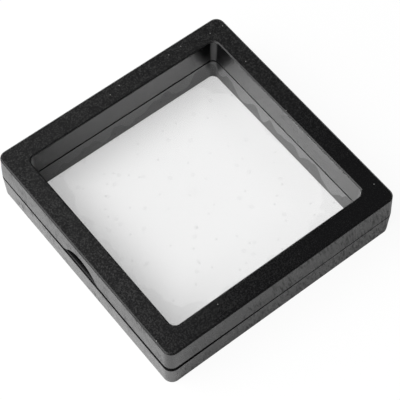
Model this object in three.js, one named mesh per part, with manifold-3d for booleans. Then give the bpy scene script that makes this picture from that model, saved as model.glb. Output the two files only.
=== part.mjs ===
// Floating display box: a square case in two shallow moulded halves, hinged like a book.
// Each half carries a clear elastic film at its mating face, and whatever is on show is
// held between the two films.
//
// Millimetres, +Z up. The closed box lies on its rear face, with the hinge towards +X and
// the thumb notch towards -X. The origin is the middle of its bounding box, on the surface
// that it lies on.
//
// Each half is drawn in its own frame: h runs from its mating face towards its outer face,
// and u is the distance from the middle of the box square to a side.
import * as THREE from "three";
import { mergeVertices } from "three/addons/utils/BufferGeometryUtils.js";
import Module from "manifold-3d";

const wasm = await Module();
wasm.setup();

// Whole box
const BOX_SIDE = 90; // outer width at the parting line
const BOX_DEPTH = 20; // from rear face to front face, closed
const PARTING_GAP = 0.3; // slit between the closed halves
const CUT_OVERRUN = 1; // how far every cutter runs past what it cuts
const VERTEX_MERGE = 0.0001; // points closer than this are one point

// Moulded frame section
const OUTER_WALL = 1.5;
const OUTER_DRAFT = 0.28; // lean of the outer wall, from parting line to face
const OUTER_CORNER_RADIUS = 3;
const FACE_BORDER = 7.24; // width of the border seen from the front
const FACE_WALL = 1.5;
const EDGE_CHAMFER = 0.34; // on both edges of the face
const EDGE_GROOVE_DEPTH = 0.12; // fine shadow line under each chamfer
const EDGE_GROOVE_HEIGHT = 0.15;
const PARTING_EDGE_BREAK = 0.12;
const REVEAL_WALL = 1.3;
const REVEAL_DRAFT = 0.28; // the opening widens by this from film to face
const REVEAL_CORNER_RADIUS = 2.3;
const REVEAL_RIM_ROUND = 0.25; // the film is drawn over this edge

// Ribs across the channel of the frame
const RIB_THICKNESS = 1;
const RIB_PLACE_SHARES = [-0.755, -0.3, 0.3, 0.755]; // of half the side, from its middle

// Elastic film
const FILM_THICKNESS = 0.2;
const FILM_SEAT_CLEARANCE = 0.05; // between the film and what it lies on
const FILM_HEM = 3; // turned edge, along the outside of the reveal wall

// Clamp ring, an L section: a sleeve round the hem and a flange across the channel
const RING_RECESS = 0.1; // its face lies this far below the mating face
const RING_SLEEVE_WALL = 1.2;
const RING_SLEEVE_DEPTH = 4.5;
const RING_FLANGE_THICKNESS = 1.4;
const RING_CLEARANCE = 0.3; // to the outer wall, and to the ribs it lies on

// Heat stakes of the frame through the flange of the ring
const STAKE_RADIUS = 0.7;
const STAKE_HEAD_RADIUS = 1.15;
const STAKE_HEAD_THICKNESS = 0.45;
const STAKE_HEAD_SUNK = 0.15; // below the face of the ring
const STAKE_CLEARANCE = 0.25; // round the stake and its head
const STAKE_LIFT = 0.1; // under the head
const STAKE_PLACE_SHARES = [-0.445, 0.445]; // of half the side, from its middle

// Thumb notch in the front half
const NOTCH_HEIGHT = 5.7;
const NOTCH_ARCH_RADIUS = 8.5;
const NOTCH_FLARE_RADIUS = 5; // where the arch runs out into the mating edge
const RELIEF_HEIGHT = 0.5; // low bow of the mating edge on both sides of the notch
const RELIEF_REACH = 19;
const RING_THUMB_WIDTH = 19; // the flange of the ring is cut away behind the notch

// Closing tongues of the rear half
const TONGUE_PLACE_SHARES = [-0.62, 0.62]; // of half the notch side, from its middle
const TONGUE_WIDTH = 4;
const TONGUE_THICKNESS = 0.9;
const TONGUE_REACH = 2; // into the front half
const TONGUE_ROOT = 2.4; // height of its root inside its own half
const TONGUE_BEAD = 0.15; // bead at its tip
const TONGUE_CLEARANCE = 0.3;

// Hinges on the hidden side
const HINGE_PLACE_SHARES = [-0.6, 0.6]; // of half the side, to the middle of each hinge
const HINGE_OFFSET = 1.6; // axis, outside the parting edge
const KNUCKLE_RADIUS = 1.9;
const FRONT_KNUCKLE_WIDTH = 5;
const REAR_KNUCKLE_WIDTH = 3.5;
const KNUCKLE_SIDE_GAP = 0.35;
const KNUCKLE_CLEARANCE = 0.35; // between a knuckle and the other half
const GUSSET_ANGLE = Math.PI / 4;
const PIN_RADIUS = 0.75;
const PIN_CLEARANCE = 0.09;
const PIN_STOP_WALL = 0.8; // closed end of the bore
const PIN_END_GAP = 0.2;
const PIN_END_CHAMFER = 0.15;

// Facets
const CORNER_STEPS = 8;
const BARREL_STEPS = 16; // round the barrel of a knuckle, up to its outermost line
const GUSSET_STEPS = 3; // from there to where the gusset leaves the barrel
const ROOM_SIDES = 20;
const STAKE_SIDES = 10;
const PIN_SIDES = 24;
const ARCH_STEPS = 20;
const FLARE_STEPS = 6;
const RELIEF_STEPS = 4;

// Sizes that follow
const HALF_DEPTH = (BOX_DEPTH - PARTING_GAP) / 2;
const PARTING_HALF = BOX_SIDE / 2;
const ribPlaces = RIB_PLACE_SHARES.map((share) => share * PARTING_HALF);
const stakePlaces = STAKE_PLACE_SHARES.map((share) => share * PARTING_HALF);
const tonguePlaces = TONGUE_PLACE_SHARES.map((share) => share * PARTING_HALF);
const hingePlaces = HINGE_PLACE_SHARES.map((share) => share * PARTING_HALF);
const FACE_HALF = PARTING_HALF - OUTER_DRAFT;
const OPENING_HALF = FACE_HALF - FACE_BORDER;
const RIM_HALF = OPENING_HALF - REVEAL_DRAFT;
const RIM_HEIGHT = FILM_THICKNESS + FILM_SEAT_CLEARANCE;
const REVEAL_BACK_HALF = RIM_HALF + REVEAL_WALL;
const FACE_UNDERSIDE = HALF_DEPTH - FACE_WALL;
const CHANNEL_HALF = PARTING_HALF - OUTER_WALL;
const HEM_INSIDE_HALF = REVEAL_BACK_HALF + FILM_SEAT_CLEARANCE;
const HEM_OUTSIDE_HALF = HEM_INSIDE_HALF + FILM_THICKNESS;
const SLEEVE_INSIDE_HALF = HEM_OUTSIDE_HALF + FILM_SEAT_CLEARANCE;
const SLEEVE_OUTSIDE_HALF = SLEEVE_INSIDE_HALF + RING_SLEEVE_WALL;
const FLANGE_HALF = CHANNEL_HALF - RING_CLEARANCE;
const FLANGE_TOP = RING_RECESS + RING_FLANGE_THICKNESS;
const STAKE_LINE = (SLEEVE_OUTSIDE_HALF + FLANGE_HALF) / 2;
const HINGE_AXIS_X = PARTING_HALF + HINGE_OFFSET;
const HINGE_AXIS_H = -PARTING_GAP / 2;
const HINGE_OVERHANG = HINGE_OFFSET + KNUCKLE_RADIUS;
const HINGE_HALF_LENGTH = FRONT_KNUCKLE_WIDTH / 2 + KNUCKLE_SIDE_GAP + REAR_KNUCKLE_WIDTH;

// Solids

// The closed mesh of a geometry as a manifold solid.
function solid(geometry) {
  const bare = geometry.index ? geometry.toNonIndexed() : geometry.clone();
  bare.deleteAttribute("normal");
  bare.deleteAttribute("uv");
  const merged = mergeVertices(bare, VERTEX_MERGE);
  return new wasm.Manifold(
    new wasm.Mesh({
      numProp: 3,
      vertProperties: new Float32Array(merged.attributes.position.array),
      triVerts: new Uint32Array(merged.index.array),
    }),
  );
}

// A manifold solid as a geometry.
function geometryOf(body) {
  const mesh = body.getMesh();
  const geometry = new THREE.BufferGeometry();
  geometry.setAttribute("position", new THREE.BufferAttribute(mesh.vertProperties, mesh.numProp));
  geometry.setIndex(new THREE.BufferAttribute(mesh.triVerts, 1));
  const faceted = geometry.toNonIndexed();
  faceted.computeVertexNormals();
  return faceted;
}

// Corner points of a rounded square, counter-clockwise, as [x, y].
function roundedSquare(half, radius) {
  const points = [];
  for (let corner = 0; corner < 4; corner += 1) {
    const start = (corner * Math.PI) / 2;
    const middle = start + Math.PI / 4;
    const cx = (half - radius) * Math.sign(Math.cos(middle));
    const cy = (half - radius) * Math.sign(Math.sin(middle));
    for (let step = 0; step <= CORNER_STEPS; step += 1) {
      const angle = start + (step / CORNER_STEPS) * (Math.PI / 2);
      points.push([cx + radius * Math.cos(angle), cy + radius * Math.sin(angle)]);
    }
  }
  return points;
}

// A surface laid through rounded squares { half, radius, h }, one after the other. A closed
// row of rings makes a hollow square section; an open row gets a flat lid at both ends.
function ringSurface(rings, closed) {
  const loops = rings.map(({ half, radius, h }) =>
    roundedSquare(half, radius).map(([x, y]) => [x, y, h]),
  );
  const count = loops[0].length;
  const positions = [];
  const triangle = (a, b, c) => positions.push(...a, ...b, ...c);
  const spans = closed ? loops.length : loops.length - 1;
  for (let i = 0; i < spans; i += 1) {
    const here = loops[i];
    const next = loops[(i + 1) % loops.length];
    for (let j = 0; j < count; j += 1) {
      const k = (j + 1) % count;
      triangle(here[j], here[k], next[k]);
      triangle(here[j], next[k], next[j]);
    }
  }
  if (!closed) {
    const first = loops[0];
    const last = loops[loops.length - 1];
    for (let j = 0; j < count; j += 1) {
      const k = (j + 1) % count;
      triangle([0, 0, first[0][2]], first[k], first[j]);
      triangle([0, 0, last[0][2]], last[j], last[k]);
    }
  }
  const geometry = new THREE.BufferGeometry();
  geometry.setAttribute("position", new THREE.Float32BufferAttribute(positions, 3));
  return geometry;
}

// A prism: an outline in x and h, drawn counter-clockwise, from yLow to yHigh.
function prismAlongY(outline, yLow, yHigh) {
  const shape = new THREE.Shape(outline.map(([x, h]) => new THREE.Vector2(x, h)));
  const geometry = new THREE.ExtrudeGeometry(shape, { depth: yHigh - yLow, bevelEnabled: false });
  geometry.rotateX(Math.PI / 2);
  geometry.translate(0, yHigh, 0);
  return solid(geometry);
}

// A box between two corners.
function block([x0, y0, h0], [x1, y1, h1]) {
  const geometry = new THREE.BoxGeometry(x1 - x0, y1 - y0, h1 - h0);
  geometry.translate((x0 + x1) / 2, (y0 + y1) / 2, (h0 + h1) / 2);
  return solid(geometry);
}

// A round bar along Y about an axis at x and h.
function barAlongY(radius, x, h, yLow, yHigh, sides) {
  const geometry = new THREE.CylinderGeometry(radius, radius, yHigh - yLow, sides);
  geometry.translate(x, (yLow + yHigh) / 2, h);
  return solid(geometry);
}

// A round bar that stands along h.
function barAlongH(radius, x, y, hLow, hHigh, sides) {
  const geometry = new THREE.CylinderGeometry(radius, radius, hHigh - hLow, sides);
  geometry.rotateX(Math.PI / 2);
  geometry.translate(x, y, (hLow + hHigh) / 2);
  return solid(geometry);
}

// The same solid on each of the four sides.
function onFourSides(body) {
  let all = body;
  for (let turn = 1; turn < 4; turn += 1) {
    const matrix = new THREE.Matrix4().makeRotationZ((turn * Math.PI) / 2);
    all = all.add(body.transform(matrix.elements));
  }
  return all;
}

// Moulded frames

// Corner radius of a ring that follows the outer wall at a given u.
const outerRadius = (half) => OUTER_CORNER_RADIUS - (PARTING_HALF - half);

// Corner radius of a ring that follows the reveal at a given u.
const revealRadius = (half) => REVEAL_CORNER_RADIUS + (half - RIM_HALF);

// Half width of the outer wall at height h.
const outerHalf = (h) => PARTING_HALF - OUTER_DRAFT * (h / HALF_DEPTH);

// Half width of the opening at height h.
const revealHalf = (h) => RIM_HALF + REVEAL_DRAFT * (h / HALF_DEPTH);

// The channel section of a half, from the outer mating edge over the face to the film rim
// and back through the inside of the channel.
function frameShell() {
  const groove = HALF_DEPTH - EDGE_CHAMFER - EDGE_GROOVE_HEIGHT;
  const wallEnd = groove - EDGE_GROOVE_HEIGHT;
  const chamferFoot = HALF_DEPTH - EDGE_CHAMFER;
  const outer = (inset, h) => {
    const half = outerHalf(h) - inset;
    return { half, radius: OUTER_CORNER_RADIUS - inset, h };
  };
  const reveal = (inset, h) => {
    const half = revealHalf(h) + inset;
    return { half, radius: REVEAL_CORNER_RADIUS + inset, h };
  };
  const back = (h, edge) => {
    const half = REVEAL_BACK_HALF - edge;
    return { half, radius: revealRadius(half), h };
  };
  return ringSurface(
    [
      outer(PARTING_EDGE_BREAK, 0),
      outer(0, PARTING_EDGE_BREAK),
      outer(0, wallEnd),
      outer(EDGE_GROOVE_DEPTH, groove),
      outer(0, chamferFoot),
      outer(EDGE_CHAMFER, HALF_DEPTH),
      reveal(EDGE_CHAMFER, HALF_DEPTH),
      reveal(0, chamferFoot),
      reveal(EDGE_GROOVE_DEPTH, groove),
      reveal(0, wallEnd),
      reveal(0, RIM_HEIGHT + REVEAL_RIM_ROUND),
      reveal(REVEAL_RIM_ROUND, RIM_HEIGHT),
      back(RIM_HEIGHT, REVEAL_RIM_ROUND),
      back(RIM_HEIGHT + REVEAL_RIM_ROUND, 0),
      back(FACE_UNDERSIDE, 0),
      outer(OUTER_WALL, FACE_UNDERSIDE),
      outer(OUTER_WALL, 0),
    ],
    true,
  );
}

// Ribs of one side: each stands on the underside of the face and ends under the ring.
function sideRibs() {
  const low = FLANGE_TOP + RING_CLEARANCE;
  const inner = SLEEVE_OUTSIDE_HALF + RING_CLEARANCE;
  const sunk = OUTER_WALL / 2;
  return ribPlaces.map((place) =>
    block(
      [inner, place - RIB_THICKNESS / 2, low],
      [outerHalf(FACE_UNDERSIDE) - sunk, place + RIB_THICKNESS / 2, FACE_UNDERSIDE + sunk],
    ),
  ).reduce((all, rib) => all.add(rib));
}

// Stakes of one side, with the heads that hold the ring down.
function sideStakes() {
  const headLow = RING_RECESS + STAKE_HEAD_SUNK;
  const headHigh = headLow + STAKE_HEAD_THICKNESS;
  return stakePlaces.map((place) => {
    const root = FACE_UNDERSIDE + FACE_WALL / 2;
    const shaft = barAlongH(STAKE_RADIUS, STAKE_LINE, place, headLow, root, STAKE_SIDES);
    const head = barAlongH(STAKE_HEAD_RADIUS, STAKE_LINE, place, headLow, headHigh, STAKE_SIDES);
    return shaft.add(head);
  }).reduce((all, stake) => all.add(stake));
}

// Outline of a knuckle in x and h: the barrel, and a gusset from it up the outer wall.
function knuckleOutline() {
  const wallX = PARTING_HALF - OUTER_WALL / 2;
  const meet = Math.asin(-HINGE_AXIS_H / KNUCKLE_RADIUS);
  const start = -Math.PI - meet;
  const angles = [];
  for (let step = 0; step <= BARREL_STEPS; step += 1) {
    angles.push(start * (1 - step / BARREL_STEPS));
  }
  for (let step = 1; step <= GUSSET_STEPS; step += 1) {
    angles.push((step / GUSSET_STEPS) * GUSSET_ANGLE);
  }
  const barrel = angles.map((angle) => [
    HINGE_AXIS_X + KNUCKLE_RADIUS * Math.cos(angle),
    HINGE_AXIS_H + KNUCKLE_RADIUS * Math.sin(angle),
  ]);
  const points = [[wallX, 0], ...barrel];
  const [tangentX, tangentH] = barrel[barrel.length - 1];
  points.push([wallX, tangentH + (tangentX - wallX) / Math.tan(GUSSET_ANGLE)]);
  return points;
}

// Spans along Y of the knuckles of each half, for one hinge.
const frontSpans = (place) => [
  [place - FRONT_KNUCKLE_WIDTH / 2, place + FRONT_KNUCKLE_WIDTH / 2],
];
const rearSpans = (place) => [
  [place - HINGE_HALF_LENGTH, place - HINGE_HALF_LENGTH + REAR_KNUCKLE_WIDTH],
  [place + HINGE_HALF_LENGTH - REAR_KNUCKLE_WIDTH, place + HINGE_HALF_LENGTH],
];

// A half with its own knuckles added and room cut for those of the other half.
function withHinges(body, ownSpans, otherSpans) {
  const room = KNUCKLE_RADIUS + KNUCKLE_CLEARANCE;
  const bore = PIN_RADIUS + PIN_CLEARANCE;
  let half = body;
  for (const place of hingePlaces) {
    for (const [low, high] of otherSpans(place)) {
      half = half.subtract(
        barAlongY(
          room,
          HINGE_AXIS_X,
          HINGE_AXIS_H,
          low - KNUCKLE_SIDE_GAP,
          high + KNUCKLE_SIDE_GAP,
          ROOM_SIDES,
        ),
      );
    }
    for (const [low, high] of ownSpans(place)) {
      half = half.add(prismAlongY(knuckleOutline(), low, high));
    }
    const [low, high] = boreSpan(place);
    half = half.subtract(barAlongY(bore, HINGE_AXIS_X, HINGE_AXIS_H, low, high, PIN_SIDES));
  }
  return half;
}

// Span of a bore: closed towards the middle of the side, open at its far end.
function boreSpan(place) {
  const outward = Math.sign(place);
  const stop = place - outward * (HINGE_HALF_LENGTH - PIN_STOP_WALL);
  const mouth = place + outward * (HINGE_HALF_LENGTH + CUT_OVERRUN);
  return [Math.min(stop, mouth), Math.max(stop, mouth)];
}

// Upper edge of the thumb notch in y and h, from the middle outwards: the arch, the flare
// tangent to it and to the mating edge, then the low bow.
function notchEdge() {
  const archH = NOTCH_HEIGHT - NOTCH_ARCH_RADIUS;
  const apart = NOTCH_ARCH_RADIUS + NOTCH_FLARE_RADIUS;
  const rise = NOTCH_FLARE_RADIUS - archH;
  const flareY = Math.sqrt(apart * apart - rise * rise);
  const meet = Math.atan2(flareY, rise);
  const bow = (y) => RELIEF_HEIGHT * (1 - (y / RELIEF_REACH) ** 2);
  const points = [];
  for (let step = 0; step <= ARCH_STEPS / 2; step += 1) {
    const angle = (step / (ARCH_STEPS / 2)) * meet;
    points.push([NOTCH_ARCH_RADIUS * Math.sin(angle), archH + NOTCH_ARCH_RADIUS * Math.cos(angle)]);
  }
  for (let step = 1; step < FLARE_STEPS; step += 1) {
    const angle = meet * (1 - step / FLARE_STEPS);
    points.push([
      flareY - NOTCH_FLARE_RADIUS * Math.sin(angle),
      NOTCH_FLARE_RADIUS * (1 - Math.cos(angle)),
    ]);
  }
  for (let step = 0; step <= RELIEF_STEPS; step += 1) {
    points.push([flareY + (step / RELIEF_STEPS) * (RELIEF_REACH - flareY), 0]);
  }
  return points.map(([y, h]) => [y, Math.max(h, bow(y))]);
}

// Cutter for the thumb notch, through the outer wall on the -X side.
function notchCutter() {
  const edge = notchEdge();
  const left = edge.slice(1).reverse().map(([y, h]) => [-y, h]);
  const top = [...left, ...edge];
  const outline = [[-RELIEF_REACH, -CUT_OVERRUN], [RELIEF_REACH, -CUT_OVERRUN], ...top.reverse()];
  const shape = new THREE.Shape(outline.map(([y, h]) => new THREE.Vector2(y, h)));
  const depth = PARTING_HALF + CUT_OVERRUN - SLEEVE_OUTSIDE_HALF;
  const geometry = new THREE.ExtrudeGeometry(shape, { depth, bevelEnabled: false });
  geometry.rotateX(Math.PI / 2);
  geometry.rotateZ(Math.PI / 2);
  geometry.translate(-PARTING_HALF - CUT_OVERRUN, 0, 0);
  return solid(geometry);
}

// Closing tongue on the -X side, in the frame of the rear half. Its tip stands past the
// mating face, inside the wall of the front half, and its bead faces that wall.
function closingTongue(place) {
  const wallSide = -(CHANNEL_HALF - TONGUE_CLEARANCE);
  const freeSide = wallSide + TONGUE_THICKNESS;
  const rootSide = -(CHANNEL_HALF + OUTER_WALL / 2);
  const tip = -(PARTING_GAP + TONGUE_REACH);
  const outline = [
    [rootSide, TONGUE_CLEARANCE],
    [wallSide, TONGUE_CLEARANCE],
    [wallSide, tip + 3 * TONGUE_BEAD],
    [wallSide - TONGUE_BEAD, tip + 2 * TONGUE_BEAD],
    [wallSide, tip],
    [freeSide - TONGUE_BEAD, tip],
    [freeSide, tip + 2 * TONGUE_BEAD],
    [freeSide, TONGUE_ROOT],
    [rootSide, TONGUE_ROOT + TONGUE_THICKNESS],
  ];
  return prismAlongY(outline, place - TONGUE_WIDTH / 2, place + TONGUE_WIDTH / 2);
}

function frontFrame() {
  const body = solid(frameShell())
    .add(onFourSides(sideRibs()))
    .add(onFourSides(sideStakes()))
    .subtract(notchCutter());
  return withHinges(body, frontSpans, rearSpans);
}

function rearFrame() {
  const body = solid(frameShell())
    .add(onFourSides(sideRibs()))
    .add(onFourSides(sideStakes()));
  const tongued = tonguePlaces.reduce((all, place) => all.add(closingTongue(place)), body);
  return withHinges(tongued, rearSpans, frontSpans);
}

// Film: a sheet across the rim of the reveal wall, its edge turned along the outside.
function film() {
  const ring = (half, h) => ({ half, radius: revealRadius(half), h });
  return ringSurface(
    [
      ring(HEM_OUTSIDE_HALF - REVEAL_RIM_ROUND, 0),
      ring(HEM_OUTSIDE_HALF, REVEAL_RIM_ROUND),
      ring(HEM_OUTSIDE_HALF, FILM_HEM),
      ring(HEM_INSIDE_HALF, FILM_HEM),
      ring(HEM_INSIDE_HALF, FILM_THICKNESS + REVEAL_RIM_ROUND),
      ring(HEM_INSIDE_HALF - REVEAL_RIM_ROUND, FILM_THICKNESS),
    ],
    false,
  );
}

// Clamp ring: both halves use the same moulding, so both have the cut for the thumb notch
// and the two for the closing tongues.
function clampRing() {
  const sleeve = (half, h) => ({ half, radius: revealRadius(half), h });
  const flange = (h) => ({ half: FLANGE_HALF, radius: outerRadius(FLANGE_HALF), h });
  const sleeveTop = RING_RECESS + RING_SLEEVE_DEPTH;
  const body = solid(
    ringSurface(
      [
        sleeve(SLEEVE_INSIDE_HALF, RING_RECESS),
        flange(RING_RECESS),
        flange(FLANGE_TOP),
        sleeve(SLEEVE_OUTSIDE_HALF, FLANGE_TOP),
        sleeve(SLEEVE_OUTSIDE_HALF, sleeveTop),
        sleeve(SLEEVE_INSIDE_HALF, sleeveTop),
      ],
      true,
    ),
  );
  return [...tongueSlots(), thumbSlot()]
    .reduce((ring, cutter) => ring.subtract(cutter), body)
    .subtract(onFourSides(sideStakeHoles()));
}

// Cut in the flange behind the thumb notch, down to the sleeve.
function thumbSlot() {
  return block(
    [-FLANGE_HALF - CUT_OVERRUN, -RING_THUMB_WIDTH / 2, -CUT_OVERRUN],
    [-SLEEVE_OUTSIDE_HALF, RING_THUMB_WIDTH / 2, FLANGE_TOP + CUT_OVERRUN],
  );
}

// Cuts in the flange round the closing tongues.
function tongueSlots() {
  const depth = TONGUE_THICKNESS + 2 * TONGUE_CLEARANCE;
  const halfWidth = TONGUE_WIDTH / 2 + TONGUE_CLEARANCE;
  return tonguePlaces.map((place) =>
    block(
      [-FLANGE_HALF - CUT_OVERRUN, place - halfWidth, -CUT_OVERRUN],
      [-CHANNEL_HALF + depth, place + halfWidth, FLANGE_TOP + CUT_OVERRUN],
    ),
  );
}

// Stepped holes in the flange for the stakes of one side.
function sideStakeHoles() {
  const seat = RING_RECESS + STAKE_HEAD_SUNK + STAKE_HEAD_THICKNESS + STAKE_LIFT;
  const hole = STAKE_RADIUS + STAKE_CLEARANCE;
  const sink = STAKE_HEAD_RADIUS + STAKE_CLEARANCE;
  return stakePlaces.map((place) => {
    const through = barAlongH(hole, STAKE_LINE, place, 0, FLANGE_TOP + CUT_OVERRUN, STAKE_SIDES);
    const counterbore = barAlongH(sink, STAKE_LINE, place, 0, seat, STAKE_SIDES);
    return through.add(counterbore);
  }).reduce((all, hole) => all.add(hole));
}

// Hinge pin, lying along Y, chamfered at both ends.
function hingePin(place) {
  const [low, high] = boreSpan(place);
  const outward = Math.sign(place);
  const length = high - low - CUT_OVERRUN - PIN_END_GAP;
  const middle = (low + high) / 2 - (outward * (CUT_OVERRUN - PIN_END_GAP)) / 2;
  const half = length / 2;
  const profile = [
    [0, -half],
    [PIN_RADIUS - PIN_END_CHAMFER, -half],
    [PIN_RADIUS, -half + PIN_END_CHAMFER],
    [PIN_RADIUS, half - PIN_END_CHAMFER],
    [PIN_RADIUS - PIN_END_CHAMFER, half],
    [0, half],
  ];
  const geometry = new THREE.LatheGeometry(
    profile.map(([radius, y]) => new THREE.Vector2(radius, y)),
    PIN_SIDES,
  );
  geometry.translate(HINGE_AXIS_X, middle, HINGE_AXIS_H);
  return geometry;
}

// Materials

const blackPlastic = new THREE.MeshStandardMaterial({
  color: 0x1d1d1e,
  roughness: 0.55,
  metalness: 0,
});
const ringPlastic = new THREE.MeshStandardMaterial({
  color: 0x242425,
  roughness: 0.6,
  metalness: 0,
});
const clearFilm = new THREE.MeshStandardMaterial({
  color: 0xf4f6f7,
  roughness: 0.08,
  metalness: 0,
  transparent: true,
  opacity: 0.12,
});
const steel = new THREE.MeshStandardMaterial({ color: 0xb9bcc0, roughness: 0.3, metalness: 1 });

// Assembly

function piece(name, geometry, material) {
  const mesh = new THREE.Mesh(geometry, material);
  mesh.name = name;
  return mesh;
}

function assembly() {
  const front = new THREE.Group();
  front.position.z = (BOX_DEPTH + PARTING_GAP) / 2;
  front.add(
    piece("front_frame", geometryOf(frontFrame()), blackPlastic),
    piece("front_film", film(), clearFilm),
    piece("front_clamp_ring", geometryOf(clampRing()), ringPlastic),
  );

  // The rear half is turned over about X, so its h runs down.
  const rear = new THREE.Group();
  rear.position.z = (BOX_DEPTH - PARTING_GAP) / 2;
  rear.rotation.x = Math.PI;
  rear.add(
    piece("rear_frame", geometryOf(rearFrame()), blackPlastic),
    piece("rear_film", film(), clearFilm),
    piece("rear_clamp_ring", geometryOf(clampRing()), ringPlastic),
    piece("left_hinge_pin", hingePin(hingePlaces[0]), steel),
    piece("right_hinge_pin", hingePin(hingePlaces[1]), steel),
  );

  const box = new THREE.Group();
  box.position.x = -HINGE_OVERHANG / 2;
  box.add(rear, front);
  return box;
}

export default assembly();
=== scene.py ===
"""Floating display box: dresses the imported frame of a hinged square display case.

The closed box lies on its rear face, with the thumb notch towards -X and the hinge
towards +X. Two moulded halves each carry a clear film at their mating face.
"""

import math
from typing import NamedTuple

import bmesh
import bpy
import numpy as np
from bpy.props import FloatProperty, FloatVectorProperty, PointerProperty
from bpy.types import Operator, Panel, PropertyGroup
from mathutils import Matrix, Vector


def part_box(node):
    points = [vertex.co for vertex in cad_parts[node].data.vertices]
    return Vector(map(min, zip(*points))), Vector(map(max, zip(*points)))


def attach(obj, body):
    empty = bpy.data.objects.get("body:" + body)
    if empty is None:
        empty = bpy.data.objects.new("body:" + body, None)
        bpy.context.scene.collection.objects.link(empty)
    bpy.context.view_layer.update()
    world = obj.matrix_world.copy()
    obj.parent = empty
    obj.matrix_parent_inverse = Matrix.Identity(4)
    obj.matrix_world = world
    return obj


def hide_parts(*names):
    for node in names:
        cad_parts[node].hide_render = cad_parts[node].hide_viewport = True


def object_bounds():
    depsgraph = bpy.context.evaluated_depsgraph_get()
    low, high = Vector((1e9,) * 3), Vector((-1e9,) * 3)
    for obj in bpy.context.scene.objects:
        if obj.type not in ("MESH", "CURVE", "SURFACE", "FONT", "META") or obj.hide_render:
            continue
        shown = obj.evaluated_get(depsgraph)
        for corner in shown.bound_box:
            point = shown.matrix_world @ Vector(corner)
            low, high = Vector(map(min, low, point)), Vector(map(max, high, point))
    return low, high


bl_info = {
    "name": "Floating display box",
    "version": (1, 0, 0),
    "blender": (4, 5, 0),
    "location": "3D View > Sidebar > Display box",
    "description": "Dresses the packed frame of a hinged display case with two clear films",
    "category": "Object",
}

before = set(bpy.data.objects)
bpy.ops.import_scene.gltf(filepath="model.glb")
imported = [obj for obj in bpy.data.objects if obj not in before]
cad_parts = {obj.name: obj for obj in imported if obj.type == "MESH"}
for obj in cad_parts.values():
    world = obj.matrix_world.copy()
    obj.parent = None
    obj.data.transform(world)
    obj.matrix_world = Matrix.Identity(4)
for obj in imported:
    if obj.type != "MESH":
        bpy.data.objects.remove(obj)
CAD_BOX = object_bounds()

MM = 0.001

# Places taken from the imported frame
FRONT_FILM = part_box("front_film")
REAR_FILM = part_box("rear_film")
HINGE_PINS = {name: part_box(name) for name in ("left_hinge_pin", "right_hinge_pin")}
SQUARE_X = (FRONT_FILM[0].x + FRONT_FILM[1].x) / 2
PIN_LOW, PIN_HIGH = HINGE_PINS["right_hinge_pin"]
HINGE_OUT = (PIN_LOW.x + PIN_HIGH.x) / 2 - SQUARE_X
BOX_TOP = CAD_BOX[1].z


class Half(NamedTuple):
    """One half of the box: its names, where its mating face lies and which way it faces."""

    name: str
    mating_z: float
    up: int


FRONT = Half("front", FRONT_FILM[0].z, 1)
REAR = Half("rear", REAR_FILM[1].z, -1)
HALVES = (FRONT, REAR)
PARTING_GAP = FRONT.mating_z - REAR.mating_z
HALF_DEPTH = BOX_TOP - FRONT.mating_z
HINGE_H = -PARTING_GAP / 2
HINGE_AXIS = np.array([HINGE_OUT, HINGE_H])

# Fineness of the surfaces
SUPPORT = 0.04 * MM
ROUND_STEPS = 4
CORNER_STEPS = 24
BARREL_STEPS = 40
LADDER_TOP = 2 * MM
LADDER_POINTS = 10
CROWN_POINTS = 8
TURNED_SIDES = 48
NOTCH_PLACES = 121
FILM_RINGS = 36
FILM_PLACES = 31
SHARP_ANGLE = math.radians(32)
MERGE_DISTANCE = 0.1e-6


# Settings in the sidebar


def number(name, description, value, **settings):
    """A number setting of any kind."""
    return FloatProperty(name=name, description=description, default=value, **settings)


def length(name, description, millimetres):
    """A length setting, given in millimetres and kept in metres."""
    return number(name, description, millimetres * MM, min=0, unit="LENGTH", precision=5)


def angle(name, description, degrees):
    """An angle setting, given in degrees and kept in radians."""
    return number(name, description, math.radians(degrees), unit="ROTATION")


def share(name, description, value):
    """A setting from 0 to 1."""
    return number(name, description, value, min=0, max=1, subtype="FACTOR")


def colour(name, description, hex_code):
    """A colour setting, given as an sRGB hex code."""
    value = linear(hex_code)
    return FloatVectorProperty(
        name=name, description=description, default=value, size=4, min=0, max=1, subtype="COLOR"
    )


def linear(hex_code):
    """Linear red, green, blue and alpha of an sRGB hex code."""
    channels = np.array([int(hex_code[i : i + 2], 16) for i in (1, 3, 5)]) / 255
    low = channels / 12.92
    high = ((channels + 0.055) / 1.055) ** 2.4
    return (*np.where(channels <= 0.04045, low, high).tolist(), 1.0)


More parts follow.
